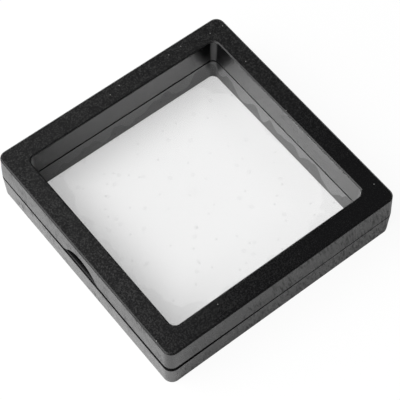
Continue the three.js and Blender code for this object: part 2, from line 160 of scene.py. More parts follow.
class BoxSizes(PropertyGroup):
    """Sizes of the two moulded halves and of all that they carry."""

    # Moulded halves
    side: length("Side", "Outer width at the parting line, just inside the solid", 89.998)
    outer_wall: length("Outer wall", "Thickness of the outer wall", 1.5)
    outer_draft: length("Outer draft", "Lean of the outer wall", 0.28)
    outer_corner: length("Outer corner", "Corner radius at the parting line", 3)
    face_border: length("Face border", "Width of the border seen from the front", 7.19)
    face_wall: length("Face wall", "Thickness of the face", 1.5)
    chamfer: length("Edge chamfer", "Chamfer on both edges of the face", 0.34)
    ledge: length("Ledge", "Narrow ledge at the foot of a chamfer", 0.15)
    ledge_drop: length("Ledge drop", "Height of the ledge under the chamfer", 0.1)
    rebate_depth: length("Rebate depth", "Rebate of the mating edge at its widest corner", 0.9)
    rebate_height: length("Rebate height", "Rebate of the mating edge, upwards", 0.9)
    reveal_wall: length("Reveal wall", "Thickness of the wall round the opening", 1.3)
    reveal_draft: length("Reveal draft", "Lean of the wall round the opening", 0.33)
    reveal_corner: length("Reveal corner", "Corner radius of the film rim", 2.3)
    rim_height: length("Rim height", "Film rim above the mating face", 0.25)
    rim_edge: length("Rim edge", "Edge break of the film rim in the opening", 0.06)
    rim_round: length("Rim round", "Rounding that the film is drawn over", 0.25)
    mating_round: length("Mating edge", "Edge break of the mating face", 0.12)
    rib_thickness: length("Rib", "Thickness of the ribs in the channel", 1)

    # Films, clamp rings and stakes
    film: length("Film", "Thickness of a film", 0.2)
    film_seat: length("Film seat", "Between a film and what it lies on", 0.05)
    film_hem: length("Film hem", "Turned edge of a film", 3)
    film_ripple: length("Film ripple", "Height of the faint ripples of a film", 0.02)
    ring_recess: length("Ring recess", "Ring below the mating face", 0.1)
    sleeve_wall: length("Ring sleeve", "Thickness of the sleeve of a ring", 1.2)
    sleeve_depth: length("Sleeve depth", "Depth of the sleeve of a ring", 4.5)
    flange: length("Ring flange", "Thickness of the flange of a ring", 1.4)
    ring_gap: length("Ring gap", "From a ring to the outer wall and to the ribs", 0.3)
    thumb_cut: length("Thumb cut", "Width of the flange cut behind the notch", 19)
    stake_radius: length("Stake", "Radius of a heat stake", 0.7)
    head_radius: length("Stake head", "Radius of the head of a stake", 1.15)
    head_height: length("Head height", "Thickness of the head of a stake", 0.45)
    head_sunk: length("Head sunk", "Head below the face of the ring", 0.15)
    head_crown: length("Head crown", "Rise of the head in its middle", 0.12)
    stake_gap: length("Stake gap", "Round a stake and its head", 0.25)
    stake_lift: length("Stake lift", "Under the head of a stake", 0.1)

    # Thumb notch, closing tongues and hinges
    notch_height: length("Notch height", "Top of the thumb notch", 5.7)
    notch_arch: length("Notch arch", "Radius of the arch of the notch", 8.5)
    notch_flare: length("Notch flare", "Radius where the arch runs out", 5)
    relief_height: length("Relief", "Low bow of the mating edge beside the notch", 0.5)
    relief_reach: length("Relief reach", "Half length of the low bow", 19)
    tongue_width: length("Tongue width", "Width of a closing tongue", 4)
    tongue_thickness: length("Tongue", "Thickness of a closing tongue", 0.9)
    tongue_reach: length("Tongue reach", "Reach into the front half", 2)
    tongue_root: length("Tongue root", "Height of the root of a tongue", 2.4)
    tongue_bead: length("Tongue bead", "Bead at the tip of a tongue", 0.15)
    tongue_gap: length("Tongue gap", "Between a tongue and the front wall", 0.3)
    knuckle_radius: length("Knuckle", "Radius of a hinge knuckle", 1.9)
    front_knuckle: length("Front knuckle", "Width of the knuckle of the lid", 5)
    rear_knuckle: length("Rear knuckle", "Width of each knuckle of the base", 3.5)
    knuckle_side_gap: length("Knuckle gap", "Between two knuckles", 0.35)
    knuckle_room: length("Knuckle room", "Between a knuckle and the other half", 0.35)
    knuckle_edge: length("Knuckle edge", "Chamfer on the ends of a knuckle", 0.15)
    pin_gap: length("Pin gap", "Round a hinge pin in its bore", 0.09)
    pin_stop: length("Pin stop", "Closed end of the bore", 0.8)
    pin_end: length("Pin end", "Rounding on the ends of a pin", 0.15)

    def outer_half(self, height):
        """Half width of the outer wall at a height above the mating face."""
        return self.side / 2 - self.outer_draft * height / HALF_DEPTH

    def opening_half(self, height):
        """Half width of the opening at a height above the mating face."""
        return self.rim_half() + self.reveal_draft * height / HALF_DEPTH

    def rim_half(self):
        """Half width of the opening at the mating face."""
        return self.side / 2 - self.outer_draft - self.face_border - self.reveal_draft

    def reveal_back(self):
        """Half width of the outside of the reveal wall."""
        return self.rim_half() + self.reveal_wall

    def channel_half(self):
        """Half width of the channel, at the mating face."""
        return self.side / 2 - self.outer_wall

    def follow_reveal(self, half):
        """Corner radius of a rounded square that runs round the reveal."""
        return self.reveal_corner + half - self.rim_half()

    def sleeve_inside(self):
        """Half width of the inside of the sleeve."""
        return self.reveal_back() + 2 * self.film_seat + self.film

    def sleeve_outside(self):
        """Half width of the outside of the sleeve."""
        return self.sleeve_inside() + self.sleeve_wall

    def flange_half(self):
        """Half width of the flange."""
        return self.channel_half() - self.ring_gap

    def flange_top(self):
        """Height of the hidden side of the flange."""
        return self.ring_recess + self.flange

    def stake_line(self):
        """Distance of the stakes from the middle of the square."""
        return (self.sleeve_outside() + self.flange_half()) / 2

    def hinge_half_length(self):
        """Half the length of one hinge."""
        return self.front_knuckle / 2 + self.knuckle_side_gap + self.rear_knuckle


# Places along a side, as shares of half of it
RIB_SHARES = np.array([-0.755, -0.3, 0.3, 0.755])
STAKE_SHARES = np.array([-0.445, 0.445])
TONGUE_SHARES = np.array([-0.62, 0.62])
HINGE_SHARES = np.array([-0.6, 0.6])

# The rebate away from its corner: its least share, and what it loses along the -X side
REBATE_LEAST = 0.1
REBATE_FALL = 0.6


class FinishSettings(PropertyGroup):
    """Colours and gloss of the materials."""

    frame_colour: colour("Frame", "Black of the moulded halves", "#0C0C0D")
    ring_colour: colour("Ring", "Black of the clamp rings", "#101011")
    # Colour of the real dust specks, and also of the painted highlight that makes the faces paler
    # towards -X and +Y
    dust_and_highlight_colour: colour("Dust", "Pale specks on the faces", "#A8A8A6")
    haze_colour: colour("Film haze", "What a film scatters", "#E9ECEE")
    steel_colour: colour("Steel", "Drawn wire of the pins", "#B9BCC0")
    floor_colour: colour("Floor", "White paper under the box", "#F5F5F5")
    face_roughness: share("Face roughness", "Grained faces", 0.43)
    wall_roughness: share("Wall roughness", "Satin walls", 0.28)
    skin_outside: share("Outer skin", "Glossy skin at the foot of the wall at -X", 0.215)
    film_haze: share("Film haze share", "Share of light that one film face scatters", 0.003)


class StageSettings(PropertyGroup):
    """Light and camera."""

    window_power: number("Window", "Power of the large soft light", 20, min=0, unit="POWER")
    window_width: length("Window width", "Width of the large soft light", 1200)
    window_distance: length("Window distance", "From the box to the soft light", 900)
    window_azimuth: angle("Window direction", "Of the soft light, from +X towards +Y", 162)
    window_elevation: angle("Window elevation", "Of the soft light, over the floor", 44)
    room_light: share("Room light", "Strength of the dim light from all round", 0.12)
    lens: number("Lens", "Focal length in millimetres", 142.52, min=1)


# Surfaces


def points(x, y, z):
    """Places in space from their three coordinates."""
    return np.stack(np.broadcast_arrays(x, y, z), axis=-1)


def turned_by(turn, x, y, z):
    """Places in space, turned about the vertical axis through the middle."""
    cosine, sine = np.cos(turn), np.sin(turn)
    return points(x * cosine - y * sine, x * sine + y * cosine, z)


def unit(vectors):
    """Vectors of length 1 along the given ones."""
    return vectors / np.linalg.norm(vectors, axis=1, keepdims=True)


def stations(places, arc_steps):
    """Rows round a rounded square, counter-clockwise from the +X side, as four columns.

    A row holds the turn of its side, a share of the straight stretch, a distance along
    it on top of that share, and the angle round the corner that ends the side.
    """
    rows = []
    for side, along in enumerate(places):
        turn = side * math.pi / 2
        rows.append((turn, -1, SUPPORT, 0))
        rows.extend((turn, part, offset, 0) for part, offset in along)
        rows.append((turn, 1, -SUPPORT, 0))
        rows.extend((turn, 1, 0, arc) for arc in np.linspace(0, math.pi / 2, arc_steps + 1))
    return [column[:, None] for column in np.array(rows).T]


def swept(rows, half, corner, height):
    """A profile carried round a rounded square.

    On a straight stretch a point lies `half` out from the middle. On a corner it lies on
    a circle of radius `corner`, whose centre is `half` less `corner` out both ways.
    """
    turn, part, offset, arc = rows
    out = half - corner * (1 - np.cos(arc))
    along = part * (half - corner) + offset + corner * np.sin(arc)
    return turned_by(turn, out, along, height)


def span_ends(spans):
    """Stations just before and just after both ends of each span along a side."""
    steps = (-SUPPORT / 8, SUPPORT / 8)
    return [(0, y) for y in sorted(end + step for span in spans for end in span for step in steps)]


def rounded(corners):
    """A closed outline with each corner turned into an arc tangent to both its sides.

    A corner is given with its radius. The centre of its arc lies on the line that halves
    the corner, radius / sin(half angle) from it, and a support point stands just before
    and just after the arc.
    """
    corners = np.asarray(corners, float)
    radius = corners[:, 2:]
    corners = corners[:, :2]
    back = unit(np.roll(corners, 1, axis=0) - corners)
    ahead = unit(np.roll(corners, -1, axis=0) - corners)
    cosine = np.sum(back * ahead, axis=1, keepdims=True)
    half_angle = np.arccos(np.clip(cosine, -1, 1)) / 2
    reach = radius / np.tan(half_angle)
    middle = unit(back + ahead) * radius / np.sin(half_angle)
    first = (back * reach - middle)[:, None, :]
    last = (ahead * reach - middle)[:, None, :]
    sweep = (math.pi - 2 * half_angle)[:, :, None]
    t = np.linspace(0, 1, ROUND_STEPS + 1)[None, :, None]
    arc = (np.sin((1 - t) * sweep) * first + np.sin(t * sweep) * last) / np.sin(sweep)
    arc += (corners + middle)[:, None, :]
    lead = (corners + back * (reach + SUPPORT))[:, None, :]
    tail = (corners + ahead * (reach + SUPPORT))[:, None, :]
    return np.concatenate([lead, arc, tail], axis=1).reshape(-1, 2)


def quarter(u, h, radius, steps=ROUND_STEPS):
    """A quarter of a circle about u and h, from its foot out and up to its side."""
    arc = np.linspace(0, math.pi / 2, steps + 1)
    return np.transpose([u + radius * np.sin(arc), h - radius * np.cos(arc)])


def drawn_in(outline, distance):
    """A counter-clockwise outline moved inwards along its own normals."""
    tangent = np.roll(outline, -1, axis=0) - np.roll(outline, 1, axis=0)
    return outline - unit(tangent[:, ::-1] * [1, -1]) * distance


def prism_side(outline, low, high, edge):
    """The side of a prism along Y, from its high end to its low one, both ends chamfered."""
    inner = drawn_in(outline, edge)
    return [(inner, high), (outline, high - edge), (outline, low + edge), (inner, low)]


def stacked(outlines):
    """Outlines (x and h) at places along Y, as one grid of points."""
    return np.stack([points(outline[:, 0], y, outline[:, 1]) for outline, y in outlines], axis=1)


def prism(outline, low, high, edge):
    """A prism along Y from a counter-clockwise outline in x and h, its ends chamfered."""
    pole = np.broadcast_to(outline.mean(axis=0), outline.shape)
    return stacked([(pole, high), *prism_side(outline, low, high, edge), (pole, low)])


def turned(profile, sides=TURNED_SIDES):
    """A profile of radius and height turned about the vertical axis, low end first."""
    radius, height = np.asarray(profile, float).T
    return turned_by(np.arange(sides)[:, None] * 2 * math.pi / sides, radius, 0, height)


class Shell(NamedTuple):
    """A closed grid of points. Its rows close on themselves, and its columns do too or
    end in poles. grain is 1 where the surface is spark-eroded and 0 where it is smooth."""

    grid: np.ndarray
    ring: bool = False
    grain: object = 0


def on_all_sides(grid, shares, box):
    """Shells of a grid in the middle of the +X side, at places along all four sides."""
    x, y, z = np.moveaxis(grid, -1, 0)
    return [
        Shell(turned_by(side * math.pi / 2, x, y + place, z))
        for side in range(4)
        for place in shares * box.side / 2
    ]


def placed(half, shells):
    """Shells of a half's own frame in the row frame: the rear half is turned over."""
    turn = [1, half.up, half.up]
    return [
        shell._replace(grid=shell.grid * turn + [SQUARE_X, 0, half.mating_z]) for shell in shells
    ]


def mesh_of(name, shells):
    """One mesh of several shells, with its poles closed and its edges marked sharp."""
    places, quads, grains = [], [], []
    base = 0
    for shell in shells:
        rows, columns = shell.grid.shape[:2]
        here = np.arange(rows)[:, None] * columns
        ahead = np.roll(here, -1, axis=0)
        j = np.arange(columns if shell.ring else columns - 1)[None, :]
        j_next = (j + 1) % columns
        corners = [here + j, ahead + j, ahead + j_next, here + j_next]
        quads.append(np.stack(corners, axis=-1).reshape(-1, 4) + base)
        places.append(shell.grid.reshape(-1, 3))
        grains.append(np.broadcast_to(shell.grain, (rows, columns)).ravel())
        base += rows * columns
    mesh = bpy.data.meshes.new(name)
    mesh.from_pydata(np.concatenate(places), [], np.concatenate(quads).tolist())
    grain = mesh.attributes.new("grain", "FLOAT", "POINT")
    grain.data.foreach_set("value", np.concatenate(grains).astype(np.float32))
    work = bmesh.new()
    work.from_mesh(mesh)
    bmesh.ops.remove_doubles(work, verts=work.verts, dist=MERGE_DISTANCE)
    work.to_mesh(mesh)
    work.free()
    return smooth(mesh)


def smooth(mesh):
    """The mesh, smooth but for the edges where two faces meet at more than the sharp angle."""
    mesh.shade_smooth()
    mesh.set_sharp_from_angle(angle=SHARP_ANGLE)
    return mesh


def new_piece(name, mesh, material, half, slot, *nodes):
    """A finished piece: it rides with its half and stands for its CAD nodes."""
    piece = bpy.data.objects.new(name, mesh)
    bpy.context.scene.collection.objects.link(piece)
    mesh.materials.append(material)
    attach(piece, f"{half.name}_half")
    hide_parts(*nodes)


# Moulded halves


def frame_outline(box):
    """Section of a half as u and h: from the outer mating edge over the face to the film
    rim, and back through the channel."""
    depth = HALF_DEPTH
    foot = depth - box.chamfer
    wall_top = foot - box.ledge_drop
    face_under = depth - box.face_wall
    outer = box.outer_half
    opening = box.opening_half
    ledge = box.ledge
    face_edge = ledge + box.chamfer
    rebate = box.rebate_height
    sunk = outer(rebate) - box.rebate_depth
    wall = box.outer_wall
    back = box.reveal_back()
    edge = box.mating_round
    fine = edge / 4
    bend = box.rim_round
    corners = [
        (sunk, 0, fine),
        (sunk, rebate, fine),
        (outer(rebate), rebate, fine),
        (outer(wall_top), wall_top, fine),
        (outer(wall_top) - ledge, wall_top, fine),
        (outer(foot) - ledge, foot, fine),
        (outer(depth) - face_edge, depth, edge),
        (opening(depth) + face_edge, depth, edge),
        (opening(foot) + ledge, foot, fine),
        (opening(wall_top) + ledge, wall_top, fine),
        (opening(wall_top), wall_top, fine),
        (opening(box.rim_height), box.rim_height, box.rim_edge),
        (back, box.rim_height, bend),
        (back, face_under, bend),
        (outer(face_under) - wall, face_under, bend),
        (outer(0) - wall, 0, edge),
    ]

    # The ladder follows the third corner. A corner has its arc's points and two more
    first_wall_point = 3 * (ROUND_STEPS + 3)
    return np.insert(rounded(corners), first_wall_point, wall_ladder(box), axis=0)


def wall_ladder(box):
    """Points up the outer wall where the knuckles of the other half need room."""
    heights = np.linspace(box.rebate_height + 3 * SUPPORT, LADDER_TOP, LADDER_POINTS)
    return np.transpose([box.outer_half(heights), heights])


def notch_height(box, y):
    """Height of the mating edge on the notch side, at y from its middle.

    An arch, a flare tangent to it and to the mating edge, and a low bow over both.
    """
    arch_radius = box.notch_arch
    flare_radius = box.notch_flare
    arch_centre = box.notch_height - arch_radius
    apart = arch_radius + flare_radius
    rise = flare_radius - arch_centre
    flare_y = math.sqrt(apart**2 - rise**2)
    meet = arch_radius * flare_y / apart
    y = np.abs(y)
    arch = arch_centre + np.sqrt(np.maximum(arch_radius**2 - y**2, 0))
    flare = flare_radius - np.sqrt(np.maximum(flare_radius**2 - (y - flare_y) ** 2, 0))
    bow = box.relief_height * (1 - (y / box.relief_reach) ** 2)
    notch = np.where(y < meet, arch, np.where(y < flare_y, flare, 0))
    return np.where(y < box.relief_reach, np.maximum(notch, bow), 0)


def knuckle_spans(half, box, place):
    """Spans along Y of the knuckles of a half, for one hinge."""
    if half is FRONT:
        return [(place - box.front_knuckle / 2, place + box.front_knuckle / 2)]
    ends = box.hinge_half_length()
    width = box.rear_knuckle
    return [(place - ends, place - ends + width), (place + ends - width, place + ends)]


def room_spans(half, box):
    """Spans along Y where a half leaves room for the knuckles of the other one."""
    other = REAR if half is FRONT else FRONT
    gap = box.knuckle_side_gap
    return [
        (low - gap, high + gap)
        for place in HINGE_SHARES * box.side / 2
        for low, high in knuckle_spans(other, box, place)
    ]


def frame_shell(half, box):
    """The channel section swept round the square, with the notch and the knuckle rooms."""
    u, h = frame_outline(box).T
    outer_side = u > (box.channel_half() + box.reveal_back()) / 2
    inset = np.where(outer_side, box.outer_half(h) - u, u - box.opening_half(h))
    face = h > HALF_DEPTH - box.chamfer - SUPPORT
    rooms = room_spans(half, box)
    reach = box.relief_reach
    notch_side = [(0, y) for y in np.linspace(-reach, reach, NOTCH_PLACES)]
    plain = [(0, y) for y in RIB_SHARES * box.side / 2]
    rows = stations([span_ends(rooms), plain, notch_side, plain], CORNER_STEPS)
    turn, part, offset, arc = rows
    straight = (part == 0) & (arc == 0)

    # The rebate of the mating edge narrows from the corner at -X and -Y
    in_rebate = outer_side & (h < box.rebate_height + 2 * SUPPORT)
    in_rebate &= inset < box.rebate_depth + SUPPORT
    x, y, _ = np.moveaxis(swept(rows, box.side / 2, box.outer_corner, 0), -1, 0)
    from_corner = np.array([x, y * half.up]) / box.side + 0.5
    narrow = (1 - from_corner[0]) ** 3 * (1 - REBATE_FALL * from_corner[1])
    narrow = REBATE_LEAST + (1 - REBATE_LEAST) * narrow
    inset = np.where(in_rebate, inset * narrow, inset)
    h = np.where(in_rebate, h * narrow, h)

    # The notch lifts the mating edge, and less and less of the wall above it
    height = h
    if half is FRONT:
        top = HALF_DEPTH - box.face_wall - 2 * box.rim_round
        lift_share = np.clip((top - h) / (top - 2 * box.mating_round), 0, 1)
        on_notch_side = straight & (turn == math.pi)
        lift = np.where(on_notch_side & outer_side, notch_height(box, offset), 0)
        height = height + lift * lift_share

    outer_half = box.outer_half(height) - inset
    half_width = np.where(outer_side, outer_half, box.opening_half(height) + inset)
    corner = np.where(outer_side, box.outer_corner - inset, box.reveal_corner + inset)

    # The room is a cylinder about the hinge axis, cut out of the outer wall
    room = box.knuckle_radius + box.knuckle_room
    rise = np.minimum(np.abs(height - HINGE_H), room)
    limit = HINGE_OUT - np.sqrt(room**2 - rise**2)
    in_room = np.any([(offset > low) & (offset < high) for low, high in rooms], axis=0)
    cut = straight & (turn == 0) & in_room & outer_side
    half_width = np.where(cut, np.minimum(half_width, limit), half_width)
    return Shell(swept(rows, half_width, corner, height), ring=True, grain=face * 1.0)


def knuckle_outline(box):
    """Barrel of a knuckle and its gusset up the outer wall, as u and h."""
    radius = box.knuckle_radius
    wall = box.side / 2 - box.outer_wall / 2
    meet = math.asin(-HINGE_H / radius)
    turn = np.linspace(-math.pi - meet, math.pi / 4, BARREL_STEPS)
    barrel = HINGE_AXIS + radius * np.transpose([np.cos(turn), np.sin(turn)])
    gusset_top = barrel[-1, 1] + barrel[-1, 0] - wall
    return np.vstack([[wall, 0], barrel, [wall, gusset_top]])


def knuckles(half, box):
    """The knuckles of a half, each bored for its pin. A bore is open at its far end and
    closed towards the middle of the side."""
    outline = knuckle_outline(box)
    bore_radius = (PIN_HIGH.x - PIN_LOW.x) / 2 + box.pin_gap
    bore = HINGE_AXIS + unit(outline - HINGE_AXIS) * bore_radius
    pole = np.broadcast_to(HINGE_AXIS, outline.shape)
    shells = []
    for place in HINGE_SHARES * box.side / 2:
        stop = abs(place) - box.hinge_half_length() + box.pin_stop
        for low, high in knuckle_spans(half, box, place):
            barrel = prism_side(outline, low, high, box.knuckle_edge)
            closed = low < math.copysign(stop, place) < high
            if closed and place > 0:
                barrel = [(pole, stop), (bore, stop), (bore, high), *barrel, (pole, low)]
            elif closed:
                barrel = [(pole, high), *barrel, (bore, low), (bore, -stop), (pole, -stop)]
            else:
                barrel += [(bore, low), (bore, high)]
            shells.append(Shell(stacked(barrel), ring=not closed))
    return shells


def ribs(box):
    """Ribs across the channel, from the underside of the face down to the ring."""
    low = box.flange_top() + box.ring_gap
    sunk = box.outer_wall / 2
    inner = box.sleeve_outside() + box.ring_gap
    outer = box.channel_half() - box.outer_draft + sunk
    top = HALF_DEPTH - box.face_wall + sunk
    corners = [(inner, low), (outer, low), (outer, top), (inner, top)]
    outline = rounded([(*corner, box.mating_round) for corner in corners])
    half = box.rib_thickness / 2
    return on_all_sides(prism(outline, -half, half, SUPPORT), RIB_SHARES, box)


def stakes(box):
    """Heat stakes through the flange of the ring, each with a crowned head."""
    head = box.ring_recess + box.head_sunk
    head_back = head + box.head_height
    radius = box.head_radius
    crown = np.linspace(0, radius, CROWN_POINTS)
    rise = head + box.head_crown * (crown / radius) ** 2
    root = HALF_DEPTH - box.face_wall / 2
    stake_radius = box.stake_radius
    shaft = [(radius, head_back), (stake_radius, head_back), (stake_radius, root), (0, root)]
    stake = turned([*zip(crown, rise), *shaft]) + [box.stake_line(), 0, 0]
    return on_all_sides(stake, STAKE_SHARES, box)


def tongues(box):
    """Closing tongues of the rear half, each with a bead at its tip."""
    bead = box.tongue_bead
    wall = -(box.channel_half() - box.tongue_gap)
    free = wall + box.tongue_thickness
    root = -(box.channel_half() + box.outer_wall / 2)
    tip = -(PARTING_GAP + box.tongue_reach)
    corners = [
        (root, box.tongue_gap),
        (wall, box.tongue_gap),
        (wall, tip + 3 * bead),
        (wall - bead, tip + 2 * bead),
        (wall, tip),
        (free - bead, tip),
        (free, tip + 2 * bead),
        (free, box.tongue_root),
        (root, box.tongue_root + box.tongue_thickness),
    ]
    half = box.tongue_width / 2
    return [
        Shell(prism(np.array(corners), place - half, place + half, box.mating_round))
        for place in TONGUE_SHARES * box.side / 2
    ]


# Films and rings

# Three ripples of a film: their lengths along X and Y, and the angle that each starts at
RIPPLES = ((4.1 * MM, 7.3 * MM, 0), (-11 * MM, 5.2 * MM, 1), (9.4 * MM, 9.4 * MM, 2))


def film_shell(box):
    """A film as one closed sheet: across the opening, over the rim and down as a hem.

    Rounded squares grow from a pole in the middle. Three crossed waves ripple the sheet,
    and fade out towards the rim.
    """
    thickness = box.film
    inside = box.reveal_back() + box.film_seat
    outside = inside + thickness
    bend = box.rim_round
    sheet = np.linspace(0, 1, FILM_RINGS) ** 0.8
    outer_bend = quarter(outside - bend, bend, bend)
    inner_bend = quarter(inside - bend, thickness + bend, bend)
    hem = np.array([(outside, box.film_hem), (inside, box.film_hem)])
    face = np.transpose([sheet * (outside - bend), 0 * sheet])
    back = np.transpose([sheet * (inside - bend), 0 * sheet + thickness])
    u, h = np.vstack([face[:-1], outer_bend, hem, inner_bend[::-1], back[-2::-1]]).T
    rim = box.rim_half()
    corner = np.where(u > rim, box.follow_reveal(u), box.reveal_corner * u / rim)
    places = [(part, 0) for part in np.linspace(-1, 1, FILM_PLACES)[1:-1]]
    grid = swept(stations([places] * 4, CORNER_STEPS // 2), u, corner, h)
    x, y = grid[..., 0], grid[..., 1]
    fade = 1 - np.clip(u / rim, 0, 1) ** 6
    waves = sum(np.sin(x / along_x + y / along_y + start) for along_x, along_y, start in RIPPLES)
    grid[..., 2] += box.film_ripple * fade * waves / len(RIPPLES)
    return Shell(grid)


def ring_shell(box):
    """The L section of a clamp ring swept round the square, its flange cut back behind the
    thumb notch and round the closing tongues."""
    inside = box.sleeve_inside()
    outside = box.sleeve_outside()
    flange = box.flange_half()
    low = box.ring_recess
    flange_top = box.flange_top()
    sleeve_top = low + box.sleeve_depth
    edge = box.mating_round
    corners = [
        (flange, low, edge),
        (flange, flange_top, edge),
        (outside, flange_top, box.rim_round),
        (outside, sleeve_top, edge),
        (inside, sleeve_top, edge),
        (inside, low, edge),
    ]
    u, h = rounded(corners).T
    corner_at = {
        inside: box.follow_reveal(inside),
        outside: box.follow_reveal(outside),
        flange: box.outer_corner - (box.side / 2 - flange),
    }
    corner = np.interp(u, list(corner_at), list(corner_at.values()))
    thumb = box.thumb_cut / 2
    tongue = box.tongue_width / 2 + box.tongue_gap
    tongue_limit = box.channel_half() - box.tongue_thickness - 2 * box.tongue_gap
    cuts = {(-thumb, thumb): outside}
    for place in TONGUE_SHARES * box.side / 2:
        cuts[place - tongue, place + tongue] = tongue_limit
    plain = [(0, y) for y in STAKE_SHARES * box.side / 2]
    rows = stations([plain, plain, span_ends(cuts), plain], CORNER_STEPS)
    turn, part, offset, arc = rows
    notch_side = (part == 0) & (arc == 0) & (turn == math.pi)
    half_width = np.broadcast_to(u, (len(turn), len(u)))
    for (start, end), limit in cuts.items():
        inside_cut = notch_side & (offset > start) & (offset < end)
        half_width = np.where(inside_cut, np.minimum(half_width, limit), half_width)
    return Shell(swept(rows, half_width, corner, h), ring=True)


def stake_holes(box):
    """Stepped cutters for the stake holes of a ring."""
    seat = box.ring_recess + box.head_sunk + box.head_height + box.stake_lift
    hole = box.stake_radius + box.stake_gap
    sink = box.head_radius + box.stake_gap
    above = box.flange_top() + box.flange
    profile = [(0, -seat), (sink, -seat), (sink, seat), (hole, seat), (hole, above), (0, above)]
    cutter = turned(profile) + [box.stake_line(), 0, 0]
    return on_all_sides(cutter, STAKE_SHARES, box)


def cut_holes(mesh, cutter_mesh):
    """The mesh less the cutters, worked out by Blender's exact boolean."""
    body = bpy.data.objects.new("ring_blank", mesh)
    cutter = bpy.data.objects.new("ring_cutters", cutter_mesh)
    for thing in (body, cutter):
        bpy.context.scene.collection.objects.link(thing)
    holes = body.modifiers.new("holes", "BOOLEAN")
    holes.operation = "DIFFERENCE"
    holes.solver = "EXACT"
    holes.object = cutter
    graph = bpy.context.evaluated_depsgraph_get()
    result = bpy.data.meshes.new_from_object(body.evaluated_get(graph))
    for thing in (body, cutter):
        bpy.data.objects.remove(thing)
    return smooth(result)


def pin_shell(name, box):
    """A hinge pin turned along Y, rounded at both ends, in the box of its CAD node."""
    low, high = HINGE_PINS[name]
    radius = (high.x - low.x) / 2
    end = box.pin_end
    start = np.vstack([[0, low.y], quarter(radius - end, low.y + end, end)])
    finish = [0, low.y + high.y] + start[::-1] * [1, -1]
    x, across, along = np.moveaxis(turned(np.vstack([start, finish])), -1, 0)
    return Shell(points(x + (low.x + high.x) / 2, along, (low.z + high.z) / 2 - across))


# Materials


class Value:
    """A number, place or shader that a material's nodes work out. Sums, differences and
    products of values are worked out by further nodes."""

    def __init__(self, socket):
        self.socket = socket
        self.tree = socket.id_data

    def beside(self, name):
        """Another output of the same node."""
        return Value(self.socket.node.outputs[name])

    def __add__(self, other):
        return calc("ADD", self, other)

    def __sub__(self, other):
        return calc("SUBTRACT", self, other)

    def __rsub__(self, other):
        return calc("SUBTRACT", other, self)

    def __mul__(self, other):
        return calc("MULTIPLY", self, other)


def add(tree, kind, inputs=None, output=0, **settings):
    """Adds one node and returns one of its outputs. Settings are the node's own, and inputs
    are its sockets, each a constant or the value that is linked to it."""
    node = tree.nodes.new(kind)
    for name, value in settings.items():
        setattr(node, name, value)
    for name, value in (inputs or {}).items():
        if isinstance(value, Value):
            tree.links.new(value.socket, node.inputs[name])
        else:
            node.inputs[name].default_value = value
    return Value(node.outputs[output])


def new_material(name):
    """An empty node material, and its Object coordinates."""
    material = bpy.data.materials.new(name)
    material.use_nodes = True
    material.node_tree.nodes.clear()
    return material, add(material.node_tree, "ShaderNodeTexCoord", output="Object")


def with_surface(material, shader):
    """The material, with the shader as its surface."""
    output = material.node_tree.nodes.new("ShaderNodeOutputMaterial")
    material.node_tree.links.new(shader.socket, output.inputs["Surface"])
    return material


def calc(operation, *values):
    """The result of a Math node for up to three numbers or values."""
    tree = next(value.tree for value in values if isinstance(value, Value))
    return add(tree, "ShaderNodeMath", dict(enumerate(values)), operation=operation)


def place_calc(operation, place, *others):
    """The result of a Vector Math node for a place and up to two others."""
    inputs = dict(enumerate((place, *others)))
    return add(place.tree, "ShaderNodeVectorMath", inputs, operation=operation)


def ramp(value, low, high, start=0.0, end=1.0):
    """Goes smoothly from start at low to end at high, and stays level beyond both."""
    inputs = {"Value": value, "From Min": low, "From Max": high, "To Min": start, "To Max": end}
    return add(value.tree, "ShaderNodeMapRange", inputs, interpolation_type="SMOOTHSTEP")


def blend(share_of_second, first, second):
    """A number that goes from the first to the second with the share."""
    inputs = {0: share_of_second, 2: first, 3: second}
    return add(share_of_second.tree, "ShaderNodeMix", inputs, data_type="FLOAT")


def blend_colours(share_of_second, first, second):
    """A colour that goes from the first to the second with the share."""
    inputs = {0: share_of_second, 6: first, 7: second}
    return add(share_of_second.tree, "ShaderNodeMix", inputs, output=2, data_type="RGBA")


def noise(place, size, detail=2.0):
    """Soft noise around 0.5 whose blobs are about as large as size. Detail is the number of
    finer layers, each half as strong as the one before."""
    inputs = {"Vector": place, "Scale": 1 / size, "Detail": detail}
    return add(place.tree, "ShaderNodeTexNoise", inputs)


def specks(place, spacing, radius, kept, dimensions="2D"):
    """1 on round specks: one to a cell of about the spacing, in the kept share of cells."""
    inputs = {"Vector": place, "Scale": 1 / spacing}
    distance = add(place.tree, "ShaderNodeTexVoronoi", inputs, voronoi_dimensions=dimensions)
    near = ramp(distance, radius / spacing / 2, radius / spacing, 1.0, 0.0)
    return near * calc("LESS_THAN", distance.beside("Color"), kept)


def bumps(height, strength, distance):
    """The normal of a surface with bumps of the given height."""
    inputs = {"Height": height, "Strength": strength, "Distance": distance}
    return add(height.tree, "ShaderNodeBump", inputs)


def from_middle(place):
    """X, Y and Z of a place, with X counted from the middle of the square."""
    x = add(place.tree, "ShaderNodeSeparateXYZ", {0: place})
    return x - SQUARE_X, x.beside("Y"), x.beside("Z")


def square_half(x, y):
    """Half the width of the square about the middle that a place lies on."""
    return calc("MAXIMUM", calc("ABSOLUTE", x), calc("ABSOLUTE", y))


class Spot:
    """What the material of the moulded halves asks about a place. outside, in_front and grain
    are 1 on the outer walls, in the front half and on the grained faces, and 0 elsewhere."""

    def __init__(self, place, box):
        self.place = place
        self.x, self.y, self.height = from_middle(place)
        middle_of_border = (box.rim_half() + box.side / 2) / 2
        self.outside = calc("GREATER_THAN", square_half(self.x, self.y), middle_of_border)
        self.in_front = calc("GREATER_THAN", self.height, REAR.mating_z + PARTING_GAP / 2)
        self.grain = add(place.tree, "ShaderNodeAttribute", None, "Fac", attribute_name="grain")


